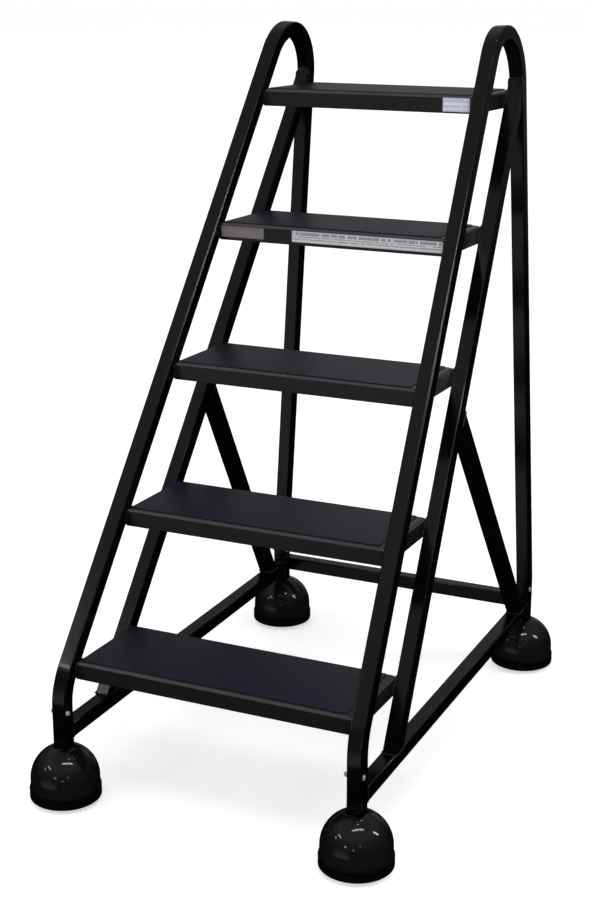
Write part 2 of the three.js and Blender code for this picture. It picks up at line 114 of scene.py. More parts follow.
class Surface:
    """A material's node tree, with short ways to make the nodes that the surfaces share."""

    def __init__(self, name, **sockets):
        self.material = bpy.data.materials.new(name)
        self.material.use_nodes = True
        self.tree = self.material.node_tree
        self.shader = self.tree.nodes["Principled BSDF"]
        for socket, value in sockets.items():
            self.shader.inputs[socket.replace("_", " ")].default_value = value
        self.place = self.tree.nodes.new("ShaderNodeTexCoord").outputs["Object"]

    def link(self, source, target):
        self.tree.links.new(source, target)

    def set(self, socket, source):
        self.link(source, self.shader.inputs[socket])

    def stretched(self, x, y, z):
        node = self.tree.nodes.new("ShaderNodeMapping")
        node.inputs["Scale"].default_value = (x, y, z)
        self.link(self.place, node.inputs["Vector"])
        return node.outputs["Vector"]

    def noise(self, scale, detail=3.0, roughness=0.5, vector=None):
        node = self.tree.nodes.new("ShaderNodeTexNoise")
        node.inputs["Scale"].default_value = scale
        node.inputs["Detail"].default_value = detail
        node.inputs["Roughness"].default_value = roughness
        self.link(vector or self.place, node.inputs["Vector"])
        return node.outputs["Fac"]

    def cells(self, scale, vector=None):
        node = self.tree.nodes.new("ShaderNodeTexVoronoi")
        node.inputs["Scale"].default_value = scale
        self.link(vector or self.place, node.inputs["Vector"])
        return node.outputs["Distance"]

    def ramp(self, source, *stops):
        """Colours or numbers along the source, as (place, value) stops."""
        node = self.tree.nodes.new("ShaderNodeValToRGB")
        elements = node.color_ramp.elements
        while len(elements) < len(stops):
            elements.new(0.5)
        for element, (place, value) in zip(elements, stops):
            element.position = place
            rgb = value if isinstance(value, tuple) else (value, value, value)
            element.color = (*rgb, 1)
        self.link(source, node.inputs["Fac"])
        return node.outputs["Color"]

    def rolled(self):
        """How far a surface leans between facing up and facing across, as on an edge folded over: the mask of a
        painted highlight, full where the surface leans, a third on flat tops, none on upright faces.
        """
        normal = self.tree.nodes.new("ShaderNodeNewGeometry").outputs["Normal"]
        up = self.tree.nodes.new("ShaderNodeSeparateXYZ")
        self.link(normal, up.inputs["Vector"])
        return self.ramp(up.outputs["Z"], (0.05, 0.0), (0.4, 1.0), (0.93, 1.0), (0.995, 0.3))

    def mix(self, factor, low, high, blend="MIX"):
        node = self.tree.nodes.new("ShaderNodeMix")
        node.data_type = "RGBA"
        node.blend_type = blend
        for index, source in ((0, factor), (6, low), (7, high)):
            if isinstance(source, (int, float)):
                node.inputs[index].default_value = source
            elif isinstance(source, tuple):
                node.inputs[index].default_value = (*source, 1)
            else:
                self.link(source, node.inputs[index])
        return node.outputs[2]

    def bump(self, height, strength, distance, below=None):
        node = self.tree.nodes.new("ShaderNodeBump")
        node.inputs["Strength"].default_value = strength
        node.inputs["Distance"].default_value = distance
        self.link(height, node.inputs["Height"])
        if below is not None:
            self.link(below, node.inputs["Normal"])
        return node.outputs["Normal"]


def paint_surface(name, dark, dusty, smooth, rough, rim_highlight=None):
    """Gloss enamel: orange peel, faint smears in the gloss, dust, a few scuffs, and a painted highlight laid in
    patches on rolled edges that lean between facing up and facing across.
    """
    s = Surface(name, IOR=1.5)
    smears = s.noise(9, 4, 0.6, s.stretched(1, 1, 0.45))
    dust = s.ramp(s.noise(260, 5, 0.7), (0.58, 0.0), (0.78, 1.0))
    scuffs = s.ramp(s.noise(70, 6, 0.75, s.stretched(1, 1, 0.12)), (0.66, 0.0), (0.74, 1.0))
    colour = s.mix(s.ramp(smears, (0.3, 0.0), (0.75, 1.0)), dark, tuple(1.5 * c for c in dark))
    colour = s.mix(s.mix(0.35, (0, 0, 0), dust), colour, dusty)
    colour = s.mix(s.mix(0.3, (0, 0, 0), scuffs), colour, dusty)
    if rim_highlight:
        # Painted highlight: a lighter colour, in patches, where the surface leans between up and across, as light
        # from above falls on a rolled edge, and a little on flat tops.
        highlight_patches = s.ramp(s.noise(160, 5, 0.7), (0.25, 0.5), (0.7, 1.0))
        colour = s.mix(s.mix(s.rolled(), (0, 0, 0), highlight_patches), colour, rim_highlight)
    s.set("Base Color", colour)
    gloss = s.ramp(smears, (0.3, smooth), (0.7, rough))
    s.set("Roughness", s.mix(s.mix(0.5, (0, 0, 0), scuffs), gloss, (0.6, 0.6, 0.6)))
    peel = s.bump(s.noise(420, 2, 0.4), 0.12, 0.0002)
    s.set("Normal", s.bump(s.noise(45, 2, 0.5), 0.1, 0.0006, peel))
    return s.material


def mat_surface():
    """Fine-grained rubber: close pebbles with a speckled, slightly blue-black skin."""
    s = Surface("mat_rubber", IOR=1.5)
    grain = s.noise(330, 5, 0.85)
    speckle = s.ramp(grain, (0.42, (0.0004, 0.0003, 0.008)), (0.6, (0.011, 0.0105, 0.028)))
    wear = s.ramp(s.noise(11, 4, 0.6), (0.35, 0.0), (0.75, 1.0))
    s.set("Base Color", s.mix(s.mix(0.4, (0, 0, 0), wear), speckle, (0.008, 0.007, 0.014)))
    s.set("Roughness", s.ramp(grain, (0.3, 0.27), (0.7, 0.42)))
    pebbles = s.bump(s.cells(900), 0.35, 0.0003)
    s.set("Normal", s.bump(grain, 0.7, 0.0006, pebbles))
    return s.material


def cup_surface():
    """Glossy moulding: nearly mirror-like, with fine rub marks and a little dust."""
    s = Surface("cup_plastic", IOR=1.5)
    rubs = s.noise(30, 5, 0.65, s.stretched(1, 1, 0.25))
    dust = s.ramp(s.noise(480, 4, 0.7), (0.62, 0.0), (0.8, 1.0))
    s.set("Base Color", s.mix(s.mix(0.4, (0, 0, 0), dust), (0.0052, 0.0052, 0.0052), (0.03, 0.03, 0.03)))
    s.set("Roughness", s.ramp(rubs, (0.35, 0.07), (0.75, 0.14)))
    s.set("Normal", s.bump(s.noise(60, 2, 0.5), 0.05, 0.0008))
    return s.material


def ring_surface():
    """Moulded rubber: dull, with a fine skin and scuffed, dusty patches."""
    s = Surface("ring_rubber", IOR=1.25)
    scuffs = s.ramp(s.noise(55, 6, 0.7), (0.52, 0.0), (0.8, 1.0))
    s.set("Base Color", s.mix(s.mix(0.2, (0, 0, 0), scuffs), (0.0008, 0.0008, 0.0008), (0.008, 0.0075, 0.007)))
    s.set("Roughness", s.ramp(scuffs, (0.0, 0.55), (1.0, 0.8)))
    s.set("Normal", s.bump(s.noise(700, 3, 0.6), 0.3, 0.0002))
    return s.material


def plated_surface(name, tint, smooth, rough, lines, metallic=1.0):
    """Plated steel: brushed or turned lines, mottled tint, and specks of tarnish."""
    s = Surface(name, Metallic=metallic)
    mottle = s.noise(120, 4, 0.6)
    tarnish = s.ramp(s.noise(340, 5, 0.7), (0.6, 0.0), (0.75, 1.0))
    colour = s.mix(s.ramp(mottle, (0.3, 0.0), (0.7, 1.0)), tint, tuple(0.72 * c for c in tint))
    s.set("Base Color", s.mix(s.mix(0.6, (0, 0, 0), tarnish), colour, (0.2, 0.17, 0.14)))
    s.set("Roughness", s.ramp(mottle, (0.3, smooth), (0.7, rough)))
    s.set("Normal", s.bump(s.noise(lines, 2, 0.5, s.stretched(1, 1, 9)), 0.15, 0.0001))
    return s.material


def moulded_surface(name, dark, pale, rough):
    """Moulded plastic with a fine spark-eroded skin and rubbed high spots."""
    s = Surface(name, IOR=1.5)
    tone = s.noise(80, 4, 0.6)
    s.set("Base Color", s.ramp(tone, (0.3, dark), (0.75, pale)))
    s.set("Roughness", s.ramp(tone, (0.3, rough), (0.75, rough + 0.15)))
    s.set("Normal", s.bump(s.noise(1500, 2, 0.5), 0.2, 0.0001))
    return s.material


def weld_surface():
    """Painted weld metal: the enamel is thicker and shinier over the ripples."""
    s = Surface("painted_weld", IOR=1.5)
    tone = s.noise(300, 4, 0.6)
    s.set("Base Color", s.ramp(tone, (0.3, 0.004), (0.8, 0.012)))
    s.set("Roughness", s.ramp(tone, (0.3, 0.16), (0.7, 0.32)))
    s.set("Normal", s.bump(s.noise(900, 3, 0.6), 0.35, 0.0003))
    return s.material


LABEL_TRIM = 0.0018


def film_surface(name, label, ground, ink, rows, columns, inked, heading, trim):
    """Printed film: rows of short blank bars in place of any words, in a trim, on slightly creased stock."""
    s = Surface(name, IOR=1.45)
    low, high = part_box(label)
    size = high - low
    node = s.tree.nodes.new("ShaderNodeMapping")
    node.inputs["Location"].default_value = (-low.x / size.x, 0, -low.z / size.z)
    node.inputs["Scale"].default_value = (1 / size.x, 1, 1 / size.z)
    s.link(s.place, node.inputs["Vector"])
    across = s.tree.nodes.new("ShaderNodeSeparateXYZ")
    s.link(node.outputs["Vector"], across.inputs["Vector"])
    inside = s.mix(1.0, *(
        s.ramp(across.outputs[axis], (edge, 0.0), (edge * 1.3, 1.0), (1 - edge * 1.3, 1.0), (1 - edge, 0.0))
        for axis, edge in (("X", LABEL_TRIM / size.x), ("Z", LABEL_TRIM / size.z))
    ), "MULTIPLY")
    wave = s.tree.nodes.new("ShaderNodeTexWave")
    wave.bands_direction = "Z"
    wave.inputs["Scale"].default_value = rows * 0.16
    s.link(s.place, wave.inputs["Vector"])
    lines = s.ramp(wave.outputs["Fac"], (0.42, 0.0), (0.52, 1.0))
    words = s.ramp(s.noise(1, 2, 0.5, s.stretched(columns, 1, rows * 0.5)), (0.4, 0.0), (0.46, 1.0))
    titles = s.ramp(s.noise(1, 1, 0.5, s.stretched(columns * 0.4, 1, 8)), (0.38, 0.0), (0.42, 1.0))
    top_row = s.ramp(across.outputs["Z"], (heading, 0.0), (heading + 0.02, 1.0), (0.88, 1.0), (0.9, 0.0))
    below = s.ramp(across.outputs["Z"], (0.12, 0.0), (0.14, 1.0), (heading - 0.08, 1.0), (heading - 0.06, 0.0))
    rows_below = s.mix(1.0, s.mix(1.0, lines, words, "MULTIPLY"), below, "MULTIPLY")
    marks = s.mix(1.0, rows_below, s.mix(1.0, titles, top_row, "MULTIPLY"), "LIGHTEN")
    aged = s.mix(s.ramp(s.noise(40, 4, 0.6), (0.3, 0.0), (0.8, 1.0)), ground, tuple(0.82 * c for c in ground))
    printed = s.mix(s.mix(inked, (0, 0, 0), marks), aged, ink)
    s.set("Base Color", s.mix(inside, trim, printed))
    s.set("Roughness", s.ramp(s.noise(25, 3, 0.5), (0.3, 0.28), (0.7, 0.42)))
    s.set("Normal", s.bump(s.noise(90, 3, 0.5), 0.1, 0.0003))
    return s.material


PAINT = paint_surface("frame_enamel", (0.0012, 0.0012, 0.0012), (0.012, 0.012, 0.011), 0.14, 0.2)
# The step enamel carries a painted highlight on its rolled edges and, faintly, on its tops.
PAN_PAINT = paint_surface(
    "step_enamel", (0.0045, 0.0045, 0.0045), (0.02, 0.02, 0.019), 0.22, 0.3, rim_highlight=(0.055, 0.055, 0.054)
)
MAT = mat_surface()
CUP = cup_surface()
RING = ring_surface()
RIVET = plated_surface("rivet_aluminium", (0.6, 0.6, 0.6), 0.2, 0.4, 500, metallic=0.65)
ZINC = plated_surface("zinc_plating", (0.58, 0.59, 0.61), 0.26, 0.42, 600)
WIRE = plated_surface("spring_wire", (0.42, 0.42, 0.43), 0.25, 0.4, 900)
SOCKET = moulded_surface("socket_nylon", 0.02, 0.045, 0.5)
WHEEL = moulded_surface("wheel_polymer", 0.045, 0.08, 0.45)
WELD = weld_surface()
FOIL = film_surface(
    "foil_label_film", "rating_label", (0.19, 0.17, 0.165), (0.07, 0.065, 0.065), 500, 400, 0.45, 0.66,
    (0.12, 0.11, 0.105)
)
FILM = film_surface(
    "label_film", "instruction_label", (0.6, 0.59, 0.63), (0.1, 0.1, 0.12), 420, 330, 0.7, 0.62,
    (0.42, 0.41, 0.45)
)
PLAIN_FILM = film_surface(
    "plain_label_film", "maker_label", (0.68, 0.68, 0.74), (0.3, 0.32, 0.52), 260, 150, 0.55, 0.66,
    (0.36, 0.42, 0.62)
)

# ---- Making pieces ----


def piece(name, mesh, material, body="frame", replaces=(), flats=False, place=None):
    """Adds a mesh as a piece. With flats, wide faces stay flat in shading beside rounded edges."""
    mesh.materials.append(material)
    mesh.polygons.foreach_set("use_smooth", [True] * len(mesh.polygons))
    made = bpy.data.objects.new(name, mesh)
    if place is not None:
        made.location = place
    SCENE.collection.objects.link(made)
    if flats:
        weighted = made.modifiers.new("flat faces", "WEIGHTED_NORMAL")
        weighted.weight = 100
    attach(made, body)
    if replaces:
        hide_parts(*replaces)
    return made


def mesh_of(name, verts, faces):
    """A mesh with its faces turned outwards."""
    bm = bmesh.new()
    made = [bm.verts.new(v) for v in verts]
    for face in faces:
        bm.faces.new([made[i] for i in face])
    bmesh.ops.recalc_face_normals(bm, faces=bm.faces)
    mesh = bpy.data.meshes.new(name)
    bm.to_mesh(mesh)
    bm.free()
    return mesh


def skin(rings, closed=False):
    """Vertices and faces of a surface through rings of equal length, capped unless it closes on itself."""
    verts, faces = [], []
    count = len(rings[0])
    for ring in rings:
        verts.extend(ring)
    spans = len(rings) if closed else len(rings) - 1
    for i in range(spans):
        a, b = i * count, (i + 1) % len(rings) * count
        for k in range(count):
            n = (k + 1) % count
            faces.append((a + k, a + n, b + n, b + k))
    if not closed:
        faces.append(tuple(range(count - 1, -1, -1)))
        last = (len(rings) - 1) * count
        faces.append(tuple(range(last, last + count)))
    return verts, faces


def merged(parts):
    """Joins lists of (vertices, faces) into one."""
    verts, faces = [], []
    for part_verts, part_faces in parts:
        start = len(verts)
        verts.extend(part_verts)
        faces.extend(tuple(i + start for i in face) for face in part_faces)
    return verts, faces


def arc(centre, radius, start, end, steps):
    """Points on an arc in a plane, both ends included."""
    angles = [start + (end - start) * i / steps for i in range(steps + 1)]
    return [(centre[0] + radius * math.cos(a), centre[1] + radius * math.sin(a)) for a in angles]


def full_turn(count):
    """Evenly spaced angles round a circle."""
    return [2 * math.pi * k / count for k in range(count)]


def turned(name, profile, segments, axis="Z"):
    """A closed profile of (radius, height) points, turned about an axis. Radius 0 makes a pole."""
    bm = bmesh.new()
    rings = []
    for radius, height in profile:
        angles = full_turn(segments if radius else 1)
        rings.append([bm.verts.new((radius * math.cos(a), radius * math.sin(a), height)) for a in angles])
    for low, high in zip(rings, rings[1:] + rings[:1]):
        for k in range(segments):
            corners = [low[k % len(low)], low[(k + 1) % len(low)], high[(k + 1) % len(high)], high[k % len(high)]]
            corners = list(dict.fromkeys(corners))
            if len(corners) > 2:
                bm.faces.new(corners)
    bmesh.ops.recalc_face_normals(bm, faces=bm.faces)
    if axis == "X":
        bmesh.ops.rotate(bm, verts=bm.verts, matrix=Matrix.Rotation(math.pi / 2, 3, "Y"))
    mesh = bpy.data.meshes.new(name)
    bm.to_mesh(mesh)
    bm.free()
    return mesh


# ---- Square tube and welds ----

BEAD_PITCH = 0.0022
BEAD_RADIUS = 0.0022
THIN_BEAD_RADIUS = 0.0014
BEAD_SIDES = 10


def tube_outline(half=TUBE / 2, corner=TUBE_CORNER, steps=6):
    """A rounded square, with its corners in steps."""
    inset = half - corner
    outline = []
    for sx, sy in ((1, 1), (-1, 1), (-1, -1), (1, -1)):
        start = math.atan2(sy, sx) - math.pi / 4
        outline.extend(arc((sx * inset, sy * inset), corner, start, start + math.pi / 2, steps))
    return outline


def tube_rings(points, side, cuts=(None, None), outline=None):
    """Mitred sections of a tube through points, one pair of its walls parallel to the side direction."""
    directions = [(b - a).normalized() for a, b in zip(points, points[1:])]
    rings = []
    for i, point in enumerate(points):
        along = directions[max(i - 1, 0)]
        if i == 0:
            cut = cuts[0] or along
        elif i == len(points) - 1:
            cut = cuts[1] or along
        else:
            cut = (directions[i - 1] + directions[i]).normalized()
        across = along.cross(side).normalized()
        u = side - along * (side.dot(cut) / along.dot(cut))
        v = across - along * (across.dot(cut) / along.dot(cut))
        rings.append([point + u * x + v * y for x, y in outline or tube_outline()])
    return rings


def frame_half_width(z):
    return FLOOR_HALF_WIDTH - LEAN * z


def frame_normal(side):
    return Vector((1, 0, side * LEAN)).normalized()


def in_frame(side, y, z, plumb_below=False):
    """A point in a leaning frame's plane. The legs turn plumb, through a short soft bend."""
    x = frame_half_width(z)
    if plumb_below:
        soft = 0.0006
        excess = x - FOOT_HALF_WIDTH
        x = FOOT_HALF_WIDTH + (excess - math.sqrt(excess * excess + soft * soft)) / 2
    return Vector((side * x, y, z))


def side_tube_route():
    bend_z = (-HALF_WHEELBASE - FRONT_STRINGER_Y) / RUN
    bend_start_z = bend_z - FOOT_BEND_RADIUS * math.tan(SLOPE_ANGLE / 2)
    bend_centre = (-HALF_WHEELBASE + FOOT_BEND_RADIUS, bend_start_z)
    foot_bend = arc(bend_centre, FOOT_BEND_RADIUS, math.pi, math.pi - SLOPE_ANGLE, 12)
    loop_y = HALF_WHEELBASE - LOOP_RADIUS
    loop_z = (loop_y - FRONT_STRINGER_Y - LOOP_RADIUS * SLOPE_LENGTH) / RUN
    loop = arc((loop_y, loop_z), LOOP_RADIUS, math.pi - SLOPE_ANGLE, 0, 44)
    plumb_z = (FLOOR_HALF_WIDTH - FOOT_HALF_WIDTH) / LEAN
    leg = [(HALF_WHEELBASE, plumb_z + d) for d in (0.06, 0.03, 0.015, 0.005, -0.005, -0.015, -0.03, -0.06)]
    return [(-HALF_WHEELBASE, TUBE_END_Z), *foot_bend, *loop, *leg, (HALF_WHEELBASE, TUBE_END_Z)]


def add_tube(name, points, side, cuts=(None, None)):
    """Adds a tube as a piece, and gives the outlines of its two ends."""
    rings = tube_rings(points, side, cuts)
    piece(name, mesh_of(name, *skin(rings)), PAINT, replaces=(name,), flats=True)
    return rings[0], rings[-1]


def resampled(path, spacing, closed):
    """Points at an even spacing along a path, with the distance run at each."""
    corners = [*path, path[0]] if closed else list(path)
    lengths = [(b - a).length for a, b in zip(corners, corners[1:])]
    total = sum(lengths)
    count = max(round(total / spacing), 4)
    points, leg, done = [], 0, 0.0
    for i in range(count if closed else count + 1):
        at = total * i / count
        while leg < len(lengths) - 1 and at > done + lengths[leg]:
            done += lengths[leg]
            leg += 1
        points.append((corners[leg].lerp(corners[leg + 1], (at - done) / lengths[leg]), at))
    return points, total


def bead(path, radius, closed=False):
    """Vertices and faces of a weld bead: overlapping ripples along a path, tapered at open ends."""
    points, total = resampled(path, BEAD_PITCH / 4, closed)
    rings = []
    for i, (point, at) in enumerate(points):
        ahead = points[(i + 1) % len(points)][0] if closed or i + 1 < len(points) else point
        behind = points[i - 1][0] if closed or i else point
        along = (ahead - behind).normalized()
        u = along.cross(X_AXIS if abs(along.x) < 0.8 else Z_AXIS).normalized()
        v = along.cross(u)
        swell = 1 - 0.2 * (at / BEAD_PITCH % 1) + 0.1 * math.sin(at * 900) * math.sin(at * 310 + radius * 1e4)
        if not closed:
            nose = min(at, total - at) / radius
            swell *= math.sqrt(1 - (1 - min(nose, 1)) ** 2) * 0.9 + 0.1
        rings.append([
            point + (u * math.cos(a) + v * math.sin(a)) * (radius * swell)
            for a in full_turn(BEAD_SIDES)
        ])
    return skin(rings, closed)


def add_welds(name, beads):
    piece(name, mesh_of(name, *merged(beads)), WELD)


def rear_stringer_ends(side):
    foot_z = RAIL_Z + TUBE / 2 + GAP
    top_y = HALF_WHEELBASE - TUBE / 2 - WELD_GAP
    return [
        in_frame(side, REAR_STRINGER_Y + RUN * foot_z, foot_z),
        in_frame(side, top_y, (top_y - REAR_STRINGER_Y) / RUN),
    ]


def stringer_normal(side):
    """Square to a stringer, in its leaning frame's plane."""
    return Vector((-side * LEAN, RUN, 1)).cross(frame_normal(side)).normalized()


def brace_ends(side):
    top_y = REAR_STRINGER_Y + RUN * BRACE_TOP_Z
    foot_z = RAIL_Z + TUBE / 2 + GAP
    drop = foot_z - BRACE_TOP_Z
    run = Vector((-side * LEAN * drop, BRACE_FOOT_Y - top_y, drop))
    share = (TUBE / 2 + GAP) / run.dot(stringer_normal(side))
    return [
        in_frame(side, top_y + share * run.y, BRACE_TOP_Z + share * run.z),
        in_frame(side, BRACE_FOOT_Y, foot_z),
    ]


crossbar_end = FOOT_HALF_WIDTH - TUBE / 2 - GAP
crossbar_rings = add_tube(
    "rear_crossbar",
    [Vector((x, HALF_WHEELBASE, CROSSBAR_Z)) for x in (-crossbar_end, crossbar_end)],
    Y_AXIS,
)
for side_name, side in SIDES.items():
    normal = frame_normal(side)
    route = [in_frame(side, y, z, plumb_below=True) for y, z in side_tube_route()]
    add_tube(f"{side_name}_side_tube", route, normal)
    stringer_rings = add_tube(f"{side_name}_rear_stringer", rear_stringer_ends(side), normal, (Z_AXIS, Y_AXIS))
    brace_rings = add_tube(f"{side_name}_brace", brace_ends(side), normal, (stringer_normal(side), Z_AXIS))
    rail_end = HALF_WHEELBASE - TUBE / 2 - GAP
    rail = [Vector((side * FOOT_HALF_WIDTH, y, RAIL_Z)) for y in (-rail_end, rail_end)]
    rail_rings = add_tube(f"{side_name}_base_rail", rail, X_AXIS)
    add_welds(f"{side_name}_frame_welds", [
        *(bead(ring, BEAD_RADIUS, closed=True) for ring in (*stringer_rings, *brace_rings)),
        *(bead(ring, THIN_BEAD_RADIUS, closed=True) for ring in rail_rings),
        bead(crossbar_rings[0 if side < 0 else 1], THIN_BEAD_RADIUS, closed=True),
    ])

# ---- Steps ----

PAN_BEND = 0.006
PAN_BEND_STEPS = 7
PAN_CORNER = 0.003
MAT_THICKNESS = 0.0012
MAT_EDGE = 0.0004
MAT_CLIP = 0.004
LABEL_CORNER = 0.0015


def clear_half_width(z):
    return frame_half_width(z) - TUBE / 2 - GAP


def pan_ring(box, z, inset, corner):
    """A rounded rectangle at height z, its ends on the leaning frames' planes."""
    front, back = box[0] + inset, box[1] - inset
    half = clear_half_width(z) - inset
    ring = []
    for sx, y, sy in ((1, back, 1), (-1, back, 1), (-1, front, -1), (1, front, -1)):
        start = math.atan2(sy, sx) - math.pi / 4
        centre = (sx * (half - corner), y - sy * corner)
        ring.extend(Vector((px, py, z)) for px, py in arc(centre, corner, start, start + math.pi / 2, 4))
    return ring


def sloped(verts, front):
    """Slopes points down towards the back, keeping the ends on the planes of the leaning frames."""
    moved = []
    for v in verts:
        drop = TREAD_FALL * (v.y - front)
        moved.append(Vector((v.x + math.copysign(LEAN * drop, v.x), v.y, v.z - drop)))
    return moved


def step_pan(name, front, back, top):
    """A folded sheet tray: its skirt, rolled edge and top outside, and the same a sheet's thickness in."""
    box = (front, back)
    bend = [math.pi / 2 * k / PAN_BEND_STEPS for k in range(PAN_BEND_STEPS + 1)]
    foot = top - STEP_FLANGE
    outside = [pan_ring(box, foot, 0.0006, PAN_CORNER), pan_ring(box, foot + 0.0006, 0, PAN_CORNER)]
    for a in bend:
        inset = PAN_BEND * (1 - math.cos(a))
        height = top - PAN_BEND + PAN_BEND * math.sin(a)
        outside.append(pan_ring(box, height, inset, PAN_CORNER + inset * 0.6))
    inner_bend = PAN_BEND - STEP_SHEET
    inside = []
    for a in reversed(bend):
        inset = STEP_SHEET + inner_bend * (1 - math.cos(a))
        height = top - PAN_BEND + inner_bend * math.sin(a)
        inside.append(pan_ring(box, height, inset, 0.0015 + (inset - STEP_SHEET) * 0.6))
    inside.append(pan_ring(box, foot, STEP_SHEET, 0.0015))
    count = len(outside[0])
    verts, faces = skin(outside)
    *wall, _, top_face = faces
    inner_verts, inner_faces = skin(inside)
    offset = len(verts)
    *inner_wall, ceiling, _ = [tuple(i + offset for i in face) for face in inner_faces]
    rim_start = offset + (len(inside) - 1) * count
    rim = [(k, (k + 1) % count, rim_start + (k + 1) % count, rim_start + k) for k in range(count)]
    all_faces = [*wall, top_face, *inner_wall, ceiling, *rim]
    return mesh_of(name, sloped([*verts, *inner_verts], front), all_faces)


def step_mat(name, low, high, front, top):
    """A thin mat with clipped corners and softened edges, lying on a step between two corners."""
    clip = MAT_CLIP
    bottom, skin_top = top + GAP, top + GAP + MAT_THICKNESS
    levels = [
        (bottom, MAT_EDGE * 0.5), (bottom + MAT_EDGE * 0.5, 0), (skin_top - MAT_EDGE, 0),
        (skin_top - MAT_EDGE * 0.3, MAT_EDGE * 0.3), (skin_top, MAT_EDGE),
    ]
    rings = []
    for z, inset in levels:
        x0, x1, y0, y1 = low.x + inset, high.x - inset, low.y + inset, high.y - inset
        rings.append([
            Vector((x, y, z)) for x, y in (
                (x0 + clip, y0), (x1 - clip, y0), (x1, y0 + clip), (x1, y1 - clip),
                (x1 - clip, y1), (x0 + clip, y1), (x0, y1 - clip), (x0, y0 + clip),
            )
        ])
    verts, faces = skin(rings)
    return mesh_of(name, sloped(verts, front), faces)


def step_beads(front, top):
    """The beads that hold a step: behind each front stringer, ahead of each rear one, and at the lip's ends."""
    reach = TUBE / 2 * SLOPE_LENGTH
    heights = [top - STEP_FLANGE + 0.002, top - 0.0005]
    beads = []
    for side in SIDES.values():
        for stringer_y, reached in ((FRONT_STRINGER_Y, reach), (REAR_STRINGER_Y, -reach)):
            ends = [
                Vector((side * (clear_half_width(z) + 0.0005), stringer_y + RUN * z + reached, z)) for z in heights
            ]
            beads.append(bead(sloped(ends, front), BEAD_RADIUS))
        beads.append(bead([
            Vector((side * clear_half_width(z), front + 0.0004, z)) for z in (heights[0], top - PAN_BEND)
        ], BEAD_RADIUS))
    return beads


for number, top in enumerate(STEP_TOPS, start=1):
    low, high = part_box(f"step_{number}")
    pan = step_pan(f"step_{number}", low.y, high.y, top)
    piece(f"step_{number}", pan, PAN_PAINT, replaces=(f"step_{number}",), flats=True)
    mat = step_mat(f"step_mat_{number}", *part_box(f"step_mat_{number}"), low.y, top)
    piece(f"step_mat_{number}", mat, MAT, replaces=(f"step_mat_{number}",), flats=True)
    add_welds(f"step_{number}_welds", step_beads(low.y, top))


def label_plate(name, low, high):
    """A thin film with rounded corners, curved a little at its edges."""
    radius = LABEL_CORNER
    rings = []
    for y, inset in ((high.y, 0), (low.y + 0.0001, 0), (low.y, 0.0002)):
        x0, x1, z0, z1 = low.x + inset, high.x - inset, low.z + inset, high.z - inset
        ring = []
        for sx, sz in ((1, 1), (-1, 1), (-1, -1), (1, -1)):
            start = math.atan2(sz, sx) - math.pi / 4
            centre = ((x1 if sx > 0 else x0) - sx * radius, (z1 if sz > 0 else z0) - sz * radius)
            ring.extend(Vector((px, y, pz)) for px, pz in arc(centre, radius, start, start + math.pi / 2, 3))
        rings.append(ring)
    return mesh_of(name, *skin(rings))


LABELS = {
    "rating_label": (FOIL, "foil_label"),
    "instruction_label": (FILM, "label"),
    "maker_label": (PLAIN_FILM, "label"),
}
for name, (film, slot) in LABELS.items():
    piece(name, label_plate(name, *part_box(name)), film, replaces=(name,), flats=True)

# ---- Feet ----

RING_BOTTOM = 0.008
RING_TOP = 0.0295
RING_RADIUS = 0.066
RING_BORE = 0.0565
RING_SEAT = 0.014
CUP_RADIUS = 0.0636
CUP_WALL = 0.0028
CUP_CENTRE = 0.0454
HUB_RADIUS = 0.024
HUB_FOOT = 0.074
BORE_RADIUS = 0.004
RIVET_PLACE = Vector((0, -0.008, 0.178))
ON_AXIS = Vector((0, 0, 0))
ON_AXLE = Vector((0, CASTER_TRAIL, WHEEL_Z))
TURN_SEGMENTS = 72


def cup_mesh():
    """The domed cup: a smooth dome on a short skirt, hollow below its hub, cut for the leg."""
    inside = CUP_RADIUS - CUP_WALL
    crown = math.acos(BORE_RADIUS / CUP_RADIUS)
    under_hub = math.acos(HUB_RADIUS / inside)
    foot = RING_SEAT + GAP
    profile = [
        (inside, foot), (CUP_RADIUS, foot), (CUP_RADIUS, RING_TOP + 0.0004),
        *arc((0, CUP_CENTRE), CUP_RADIUS, 0, crown, 26),
        (BORE_RADIUS, HUB_FOOT), (HUB_RADIUS, HUB_FOOT),
        *arc((0, CUP_CENTRE), inside, under_hub, 0, 16),
    ]
    mesh = turned("cup", profile, TURN_SEGMENTS)
    cutter_mesh = mesh_of("cutter", *skin(tube_rings(
        [Vector((0, 0, 0.079)), Vector((0, 0, 0.12))], X_AXIS,
        outline=tube_outline(TUBE / 2 + 0.0004, TUBE_CORNER + 0.0004),
    )))
    whole = bpy.data.objects.new("cup_whole", mesh)
    cutter = bpy.data.objects.new("cup_cutter", cutter_mesh)
    for made in (whole, cutter):
        SCENE.collection.objects.link(made)
    cut = whole.modifiers.new("socket", "BOOLEAN")
    cut.operation = "DIFFERENCE"
    cut.solver = "EXACT"
    cut.object = cutter
    evaluated = whole.evaluated_get(bpy.context.evaluated_depsgraph_get())
    result = bpy.data.meshes.new_from_object(evaluated)
    for made in (whole, cutter):
        bpy.data.objects.remove(made)
    return result


def ring_mesh():
    """The rubber ring, with a soft foot, a shallow waist and a bead at its top edge."""
    inside = CUP_RADIUS + GAP
    profile = [
        (RING_BORE, RING_BOTTOM), (RING_RADIUS - 0.0035, RING_BOTTOM),
        *arc((RING_RADIUS - 0.0035, RING_BOTTOM + 0.0035), 0.0035, -math.pi / 2, 0, 5)[1:],
        (RING_RADIUS - 0.0002, RING_BOTTOM + 0.012),
        (RING_RADIUS - 0.0006, RING_TOP - 0.0052),
        (RING_RADIUS, RING_TOP - 0.0034),
        *arc((RING_RADIUS - 0.0014, RING_TOP - 0.0016), 0.0014, 0, math.pi / 2, 4),
        (inside, RING_TOP - 0.0002), (inside, RING_SEAT), (RING_BORE, RING_SEAT),
    ]
    return turned("rubber_ring", profile, TURN_SEGMENTS)


